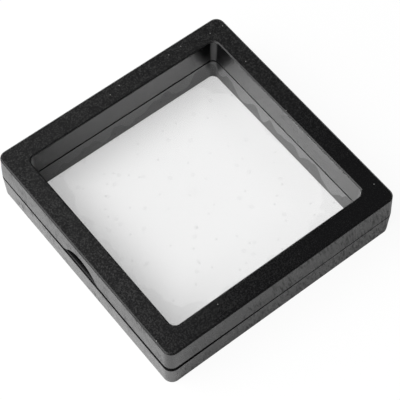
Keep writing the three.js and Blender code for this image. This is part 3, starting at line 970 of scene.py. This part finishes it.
# Sizes of the marks on the moulded halves
PIT_SIZE = 0.42 * MM
MOTTLE_SIZE = 2.2 * MM
FLOW_SIZE = 16 * MM
WISP_WIDTH = 0.75 * MM
WISP_LEAN = (0.1, 0.25, 0)
WISP_SQUEEZE = (1, 1, 0.16)
WORN_PATCH = 7 * MM
BAND_WAVE = 9 * MM
BAND_LOWEST = 1.5 * MM
BAND_LEAST = 0.5 * MM
BAND_EDGE = 0.15 * MM
CORNER_SHADE_REACH = (10.7 * MM, 4.7 * MM)
CORNER_SHADE_SLOPE = 0.55
CORNER_ROUNDING = (1.8 * MM, 0.8 * MM)

# Pale specks: the size of their cells, their radius, and the share of cells that have one
DUST_ON_FACES = (8 * MM, 0.2 * MM, 0.3)
DUST_ON_REVEAL = (3 * MM, 0.3 * MM, 0.25)
FILM_BUBBLES = (15 * MM, 0.8 * MM, 0.4)
FILM_DOTS = (10 * MM, 0.5 * MM, 0.4)

# Optics of the black plastic, and how strongly it mirrors on the open walls and on the painted
# shade beside the inner corner
ABS_INDEX = 1.54
SATIN_INDEX = 1.385
SKIN_INDEX = 2.1
OPEN_WALL_LEVEL = 0.5
CORNER_SHADE_LEVEL = 0.06

# Strength of the skin: in the front half, and the least one inside, as shares of the band's
FRONT_SKIN = 0.56
LEAST_SKIN = 0.4


def rubbed_wisps(spot, half_side):
    """1 on fine wisps rubbed up and down the outer walls, in patches that join up towards
    +X, where the wear is stronger."""
    inputs = {"Vector": spot.place, "Rotation": WISP_LEAN}
    leaning = add(spot.place.tree, "ShaderNodeVectorRotate", inputs, rotation_type="EULER_XYZ")
    drawn_out = place_calc("MULTIPLY", leaning, WISP_SQUEEZE)
    wisps = ramp(noise(drawn_out, WISP_WIDTH, 3.0), 0.42, 0.72)
    wear = ramp(spot.x, -half_side, half_side, 0.1, 0.4)
    return wisps * ramp(noise(spot.place, WORN_PATCH, 1.0) + wear, 0.5, 0.85) * spot.outside


def glossy_band(spot):
    """1 on the glossier band of the lower reveal, next to the parting line.

    The lower edge of the band wanders up and down the wall along its way round.
    """
    flat = place_calc("MULTIPLY", spot.place, (1, 1, 0))
    edge = ramp(noise(flat, BAND_WAVE, 1.5), 0.3, 0.7, BAND_LOWEST, REAR.mating_z - BAND_LEAST)
    return ramp(spot.height - edge, -BAND_EDGE, BAND_EDGE) * (1 - spot.in_front)


def painted_corner_shade(spot, rim):
    """1 on patches of painted shade on both walls beside the inner corner at +X and +Y, and the
    share of flat wall, which is 0 on the rounding of that corner.

    The patches stand for the shade where the two walls mirror each other's black. They are widest
    at the face, and narrow down the wall.
    """
    nearest = calc("MINIMUM", spot.x, spot.y)
    from_top = BOX_TOP - 2 * MM - spot.height
    far, near = CORNER_SHADE_REACH
    # Painted shade: the patch is where the walls mirror each other's black near the corner
    patch = ramp(nearest - from_top * CORNER_SHADE_SLOPE, rim - far, rim - near)
    far, near = CORNER_ROUNDING
    flat = ramp(nearest, rim - far, rim - near, 1.0, 0.0)
    inside = 1 - calc("MAXIMUM", spot.outside, spot.grain)
    return patch * flat * inside, flat


def wall_skin(spot, box, foot):
    """Strength of the mirror-like skin of the walls, and the painted shade beside the inner
    corner.

    Outside it is strongest at the foot of the wall at -X. Inside it is strong on the band
    and in the front half, and weaker towards -X and on the rounded corner.
    """
    rim = box.rim_half()
    half_side = box.side / 2
    corner_shade, flat = painted_corner_shade(spot, rim)
    outer = ramp(spot.height, 0, BOX_TOP, foot, foot * 0.67)
    outer = outer * ramp(spot.x, -half_side, -half_side + 12 * MM, 1.0, 0.4)
    band = glossy_band(spot) * ramp(spot.x, 0.6 * rim, 0.98 * rim, 0.65, 1.0)
    inner = calc("MAXIMUM", calc("MAXIMUM", spot.in_front * FRONT_SKIN, band), LEAST_SKIN)
    inner = inner * ramp(spot.x, -rim, rim / 2, 0.45, 1.0) * ramp(flat, 0, 1, 0.5, 1.0)
    return blend(spot.outside, inner * (1 - corner_shade), outer), corner_shade


def face_grain(spot, finish):
    """The pits of the spark-eroded faces, their roughness and their pale share: pale flecks in the
    pits, painted stronger towards -X and +Y as a painted highlight on the side the light comes
    from. The faces are smoother, and painted darker, towards -Y and +X."""
    pits = noise(spot.place, PIT_SIZE)
    along = spot.x * 0.6 - spot.y
    level = finish.face_roughness
    roughness = ramp(pits, 0.42, 0.68, level - 0.06, level + 0.16) - ramp(along, 0, 60 * MM) * 0.22
    # Painted highlight: the pale flecks grow stronger towards -X and +Y, where the light comes
    # from
    flecks_and_painted_light = ramp(pits, 0.46, 0.68, 0.0, 0.058) * ramp(along, -25 * MM, 60 * MM, 1.0, 0.0)
    return pits, roughness, flecks_and_painted_light * spot.grain


def dust_share(spot):
    """Pale specks: small ones on the faces, and larger ones on the lower reveal."""
    on_faces = specks(spot.place, *DUST_ON_FACES) * spot.grain
    lower_reveal = 1 - spot.outside - spot.in_front
    on_reveal = specks(spot.place, *DUST_ON_REVEAL, "3D") * lower_reveal
    return calc("MAXIMUM", on_faces, on_reveal) * 0.6


def moulded_abs(box, finish):
    """Black ABS, injection moulded: spark-eroded grain on the faces, satin walls.

    The faces scatter light and look charcoal, and are painted paler towards -X and +Y as a painted
    highlight. The walls mirror the table at a low angle, which makes them look grey, and show
    faint flow marks and rubbed wisps. Beside the inner corner their mirror is turned down as a
    painted shade.
    """
    material, place = new_material("black_moulded_abs")
    spot = Spot(place, box)
    rubbed = rubbed_wisps(spot, box.side / 2)
    skin, corner_shade = wall_skin(spot, box, finish.skin_outside)
    pits, face_roughness, flecks_and_painted_light = face_grain(spot, finish)
    mottle = ramp(noise(place, MOTTLE_SIZE, 3.0), 0.32, 0.68, -0.035, 0.035) * spot.outside
    wall_roughness = mottle + finish.wall_roughness + rubbed * 0.25
    flow = noise(place_calc("MULTIPLY", place, (1, 1, 2.5)), FLOW_SIZE, 1.0)
    surface = flow * 4.0 - rubbed * 2.0 + pits * spot.grain * 2.0
    # Real dust specks, and the faces' painted highlight towards -X and +Y
    dust_and_painted_light = calc("MAXIMUM", dust_share(spot), flecks_and_painted_light)
    inputs = {
        "Base Color": blend_colours(dust_and_painted_light, finish.frame_colour, finish.dust_and_highlight_colour),
        "Roughness": blend(spot.grain, wall_roughness, face_roughness),
        "Normal": bumps(surface, 0.6, 0.03 * MM),
        "IOR": SATIN_INDEX,
        # Painted shade: the walls' mirror is turned down on the patches beside the inner corner
        "Specular IOR Level": blend(corner_shade, OPEN_WALL_LEVEL, CORNER_SHADE_LEVEL),
        "Coat Weight": skin * (1 - rubbed) * (1 - spot.grain),
        "Coat Roughness": finish.wall_roughness,
        "Coat IOR": SKIN_INDEX,
    }
    return with_surface(material, add(place.tree, "ShaderNodeBsdfPrincipled", inputs))


def ring_abs(finish):
    """Black ABS of the clamp rings: the same plastic with an even satin finish."""
    material, place = new_material("black_ring_abs")
    inputs = {
        "Base Color": finish.ring_colour,
        "Roughness": ramp(noise(place, 6 * MM, 3.0), 0.3, 0.7, 0.3, 0.45),
        "Normal": bumps(noise(place, 0.3 * MM), 0.3, 0.01 * MM),
        "IOR": ABS_INDEX,
    }
    return with_surface(material, add(place.tree, "ShaderNodeBsdfPrincipled", inputs))


# Optics of the films, and the size of their border
FILM_INDEX = 1.28
FILM_GLOSS = 0.2
CLEAR_TINT = (0.991, 0.991, 0.991, 1)
MARK_TINT = (0.83, 0.83, 0.83, 1)
MARKS_SHIFT = (37, 53, 0)
BORDER_WIDTH = 3 * MM
BORDER_WAVE = 7 * MM


def film_border(place, box):
    """1 in the outer border of a film, where the two films part from each other.

    Its inner edge is a square with very round corners, |x|^5 + |y|^5, and wanders a little.
    """
    x, y, _ = from_middle(place)
    reach = box.rim_half() - BORDER_WIDTH
    shares = (calc("DIVIDE", calc("ABSOLUTE", part), reach) for part in (x, y))
    fifth_x, fifth_y = (calc("POWER", part, 5.0) for part in shares)
    return ramp(noise(place, BORDER_WAVE) * 1.2 + (fifth_x + fifth_y), 1.42, 1.52)


def film_marks(place):
    """Rings round small bubbles, and dots of dust, on each face of a film its own."""
    height = add(place.tree, "ShaderNodeSeparateXYZ", {0: place}, output="Z")
    own_place = place_calc("MULTIPLY_ADD", height, MARKS_SHIFT, place)
    bubbles = specks(own_place, *FILM_BUBBLES)
    dots = specks(own_place, *FILM_DOTS)
    return calc("MAXIMUM", bubbles * (1.15 - bubbles), dots * 0.45)


def clear_film(box, finish):
    """Clear polyurethane film, cast and stretched: it passes nearly all light, mirrors the
    rest by its angle, and scatters a little where dust and small bubbles sit."""
    material, place = new_material("clear_polyurethane_film")
    tree = place.tree
    marks = film_marks(place)
    tint = blend_colours(film_border(place, box) * 0.08 + marks, CLEAR_TINT, MARK_TINT)
    clear = add(tree, "ShaderNodeBsdfTransparent", {"Color": tint})
    gloss = add(tree, "ShaderNodeBsdfGlossy", {"Color": (1, 1, 1, 1), "Roughness": FILM_GLOSS})

    # The sheet doesn't bend a ray, so its index is turned over where the ray leaves it
    leaving = add(tree, "ShaderNodeNewGeometry", output="Backfacing")
    turned_over = {"Value": leaving, "To Min": FILM_INDEX, "To Max": 1 / FILM_INDEX}
    fresnel = add(tree, "ShaderNodeFresnel", {"IOR": add(tree, "ShaderNodeMapRange", turned_over)})
    sheet = add(tree, "ShaderNodeMixShader", {0: fresnel, 1: clear, 2: gloss})
    haze = {"Base Color": finish.haze_colour, "Roughness": 0.6}
    scatter = add(tree, "ShaderNodeBsdfPrincipled", haze)
    inputs = {0: marks * 0.02 + finish.film_haze, 1: sheet, 2: scatter}
    return with_surface(material, add(tree, "ShaderNodeMixShader", inputs))


def drawn_steel(finish):
    """Drawn steel wire of the hinge pins: fine lines along the pin, bright and smooth."""
    material, place = new_material("drawn_steel_wire")
    lines = noise(place_calc("MULTIPLY", place, (1, 0.04, 1)), 0.08 * MM)
    inputs = {
        "Base Color": finish.steel_colour,
        "Metallic": 1.0,
        "Roughness": ramp(lines, 0.3, 0.7, 0.18, 0.38),
    }
    return with_surface(material, add(place.tree, "ShaderNodeBsdfPrincipled", inputs))


# How white the paper is shown by its glow, a painted light that lifts its shadows: to the camera
# and in mirrors, under the films and beside the box
SHOWN_MIDDLE = 0.78
SHOWN_BORDER = 0.48
SHOWN_BESIDE = 0.93
MIRRORED_UNDER = 0.2
MIRRORED_BESIDE = 0.07
SHADE_SHIFT = (2 * MM, 4 * MM, 0)
UNDER_BORDER = (39 * MM, 44 * MM)


def white_paper(finish):
    """White paper of the studio floor: matt, and shown nearly white to the camera by a glow, a
    painted light that lifts the paper's shadows. It is shown whiter beside the box than under its
    films, least near the films' border, where the walls' shade shows most, with that middle
    shifted a little towards +X and +Y. In mirrors the glow lifts the paper more under the films
    than beside the box."""
    material, place = new_material("white_studio_paper")
    tree = place.tree
    inputs = {
        "Base Color": finish.floor_colour,
        "Roughness": ramp(noise(place, 3 * MM), 0.3, 0.7, 0.85, 0.95),
        "Specular IOR Level": 0.0,
    }
    paper = add(tree, "ShaderNodeBsdfPrincipled", inputs)
    glow = add(tree, "ShaderNodeEmission", {"Color": (1, 1, 1, 1), "Strength": 1.0})
    x, y, _ = from_middle(place_calc("SUBTRACT", place, SHADE_SHIFT))
    off = square_half(x, y)
    # Painted light: the glow is weaker near the films' border, so the walls' shade shows more
    # there
    under = ramp(off, 15 * MM, 34 * MM, SHOWN_MIDDLE, SHOWN_BORDER)
    shown = blend(ramp(off, *UNDER_BORDER), under, SHOWN_BESIDE)
    # Painted light in mirrors: the glow lifts the shadowed paper that the walls mirror, more under
    # the films
    mirrored = ramp(off, *UNDER_BORDER, MIRRORED_UNDER, MIRRORED_BESIDE)
    camera_ray = add(tree, "ShaderNodeLightPath", output="Is Camera Ray")
    glow_share = camera_ray * shown + camera_ray.beside("Is Glossy Ray") * mirrored

    # The paper's shown white lights nothing, so no light is looked for on it
    material.cycles.emission_sampling = "NONE"
    inputs = {0: glow_share, 1: paper, 2: glow}
    return with_surface(material, add(tree, "ShaderNodeMixShader", inputs))


# Operators


def settings_of(context):
    """The settings in the sidebar: sizes, finish and stage."""
    return [getattr(context.scene, name) for name in SETTINGS]


class DISPLAYBOX_OT_moulded_halves(Operator):
    """Builds the front and rear frame, each with its knuckles, ribs and stakes"""

    bl_idname = "display_box.moulded_halves"
    bl_label = "Moulded halves"

    def execute(self, context):
        box, finish, _ = settings_of(context)
        material = moulded_abs(box, finish)
        for half in HALVES:
            shells = [
                frame_shell(half, box),
                *knuckles(half, box),
                *ribs(box),
                *stakes(box),
            ]
            if half is REAR:
                shells.extend(tongues(box))
            name = f"{half.name}_frame_moulding"
            mesh = mesh_of(name, placed(half, shells))
            new_piece(name, mesh, material, half, "frame", f"{half.name}_frame")
        return {"FINISHED"}


class DISPLAYBOX_OT_films(Operator):
    """Stretches a clear film across each half"""

    bl_idname = "display_box.films"
    bl_label = "Clear films"

    def execute(self, context):
        box, finish, _ = settings_of(context)
        shell = film_shell(box)
        material = clear_film(box, finish)
        for half in HALVES:
            name = f"{half.name}_film_sheet"
            mesh = mesh_of(name, placed(half, [shell]))
            new_piece(name, mesh, material, half, "film", f"{half.name}_film")
        return {"FINISHED"}


class DISPLAYBOX_OT_clamp_rings(Operator):
    """Builds the clamp ring of each half, with the holes for its stakes"""

    bl_idname = "display_box.clamp_rings"
    bl_label = "Clamp rings"

    def execute(self, context):
        box, finish, _ = settings_of(context)
        shell = ring_shell(box)
        cutters = stake_holes(box)
        material = ring_abs(finish)
        for half in HALVES:
            name = f"{half.name}_ring_moulding"
            blank = mesh_of(name, placed(half, [shell]))
            mesh = cut_holes(blank, mesh_of("ring_cutters", placed(half, cutters)))
            new_piece(name, mesh, material, half, "clamp_ring", f"{half.name}_clamp_ring")
        return {"FINISHED"}


class DISPLAYBOX_OT_hinge_pins(Operator):
    """Turns the two steel hinge pins"""

    bl_idname = "display_box.hinge_pins"
    bl_label = "Hinge pins"

    def execute(self, context):
        box, finish, _ = settings_of(context)
        material = drawn_steel(finish)
        for node in HINGE_PINS:
            name = f"{node}_wire"
            mesh = mesh_of(name, [pin_shell(node, box)])
            new_piece(name, mesh, material, REAR, "hinge_pin", node)
        return {"FINISHED"}


class DISPLAYBOX_OT_stage(Operator):
    """Lays the floor, and sets up the lamp, the ambient light and the camera"""

    bl_idname = "display_box.stage"
    bl_label = "Stage"

    def execute(self, context):
        _, finish, stage = settings_of(context)
        lay_floor(context.scene, finish)
        light_scene(context.scene, stage)
        place_camera(context.scene, stage)
        context.scene.view_settings.view_transform = "Standard"
        return {"FINISHED"}


# Stage

FLOOR_RADIUS = 2.0
FLOOR_SIDES = 96
COVE_RADIUS = 0.5
COVE_STEPS = 23
FLOOR_GAP = 0.02 * MM

# Where the photograph was taken from: the point its middle shows, and the camera from there
AIM = Vector((1.32 * MM, 1.44 * MM, 0))
CAMERA_AZIMUTH = math.radians(-128.013)
CAMERA_ELEVATION = math.radians(59.437)
CAMERA_ROLL = math.radians(-0.21)
CAMERA_DISTANCE = 515.21 * MM
SENSOR_WIDTH = 36


def lay_floor(scene, finish):
    """A round paper floor that curves up into a wall at its rim."""
    profile = np.vstack([[0, 0], quarter(FLOOR_RADIUS, COVE_RADIUS, COVE_RADIUS, COVE_STEPS)])
    grid = turned(profile, FLOOR_SIDES) - [0, 0, FLOOR_GAP]
    mesh = mesh_of("paper_floor", [Shell(grid[::-1])])
    mesh.materials.append(white_paper(finish))
    floor = bpy.data.objects.new("paper_floor", mesh)
    scene.collection.objects.link(floor)


def facing_back(azimuth, elevation, distance, aim):
    """A place at a distance from the aim, turned to face it. Its direction is given by two
    angles: from +X towards +Y, and up from the floor."""
    level = math.cos(elevation)
    ray = Vector((math.cos(azimuth) * level, math.sin(azimuth) * level, math.sin(elevation)))
    turn = ray.to_track_quat("Z", "Y").to_matrix().to_4x4()
    return Matrix.Translation(aim + ray * distance) @ turn


def light_scene(scene, settings):
    """One light as large as a window on the notch side, and a dim room."""
    lamp = bpy.data.lights.new("window_light", "AREA")
    lamp.shape = "SQUARE"
    lamp.size = settings.window_width
    lamp.energy = settings.window_power
    window = bpy.data.objects.new("window_light", lamp)
    window.matrix_world = facing_back(
        settings.window_azimuth, settings.window_elevation, settings.window_distance, Vector()
    )
    scene.collection.objects.link(window)
    world = bpy.data.worlds.new("dim_room")
    world.use_nodes = True
    background = world.node_tree.nodes["Background"]
    background.inputs["Color"].default_value = (1, 1, 1, 1)
    background.inputs["Strength"].default_value = settings.room_light
    scene.world = world


def place_camera(scene, settings):
    """The camera at the photograph's viewing angle, looking at the aim from afar."""
    data = bpy.data.cameras.new("photo_camera")
    data.lens = settings.lens
    data.sensor_width = SENSOR_WIDTH
    camera = bpy.data.objects.new("photo_camera", data)
    place = facing_back(CAMERA_AZIMUTH, CAMERA_ELEVATION, CAMERA_DISTANCE, AIM)
    camera.matrix_world = place @ Matrix.Rotation(CAMERA_ROLL, 4, "Z")
    scene.collection.objects.link(camera)
    scene.camera = camera


class DISPLAYBOX_PT_sidebar(Panel):
    """Lists the settings and the operators of the display box"""

    bl_idname = "DISPLAYBOX_PT_sidebar"
    bl_label = "Display box"
    bl_space_type = "VIEW_3D"
    bl_region_type = "UI"
    bl_category = "Display box"

    def draw(self, context):
        for operator in OPERATORS:
            self.layout.operator(operator.bl_idname)
        for name in SETTINGS:
            settings = getattr(context.scene, name)
            box = self.layout.box()
            for key in settings.bl_rna.properties.keys():
                if key not in ("rna_type", "name"):
                    box.prop(settings, key)


OPERATORS = (
    DISPLAYBOX_OT_moulded_halves,
    DISPLAYBOX_OT_films,
    DISPLAYBOX_OT_clamp_rings,
    DISPLAYBOX_OT_hinge_pins,
    DISPLAYBOX_OT_stage,
)
SETTINGS = {
    "display_box_sizes": BoxSizes,
    "display_box_finish": FinishSettings,
    "display_box_stage": StageSettings,
}


def register():
    """Registers the settings, the operators and the panel."""
    for name, group in SETTINGS.items():
        bpy.utils.register_class(group)
        setattr(bpy.types.Scene, name, PointerProperty(type=group))
    for operator in OPERATORS:
        bpy.utils.register_class(operator)
    bpy.utils.register_class(DISPLAYBOX_PT_sidebar)


def unregister():
    """Takes all of it away again."""
    bpy.utils.unregister_class(DISPLAYBOX_PT_sidebar)
    for operator in reversed(OPERATORS):
        bpy.utils.unregister_class(operator)
    for name, group in SETTINGS.items():
        delattr(bpy.types.Scene, name)
        bpy.utils.unregister_class(group)


def main():
    """Builds every piece and the stage."""
    register()
    bpy.ops.display_box.moulded_halves()
    bpy.ops.display_box.films()
    bpy.ops.display_box.clamp_rings()
    bpy.ops.display_box.hinge_pins()
    bpy.ops.display_box.stage()


if __name__ == "__main__":
    main()
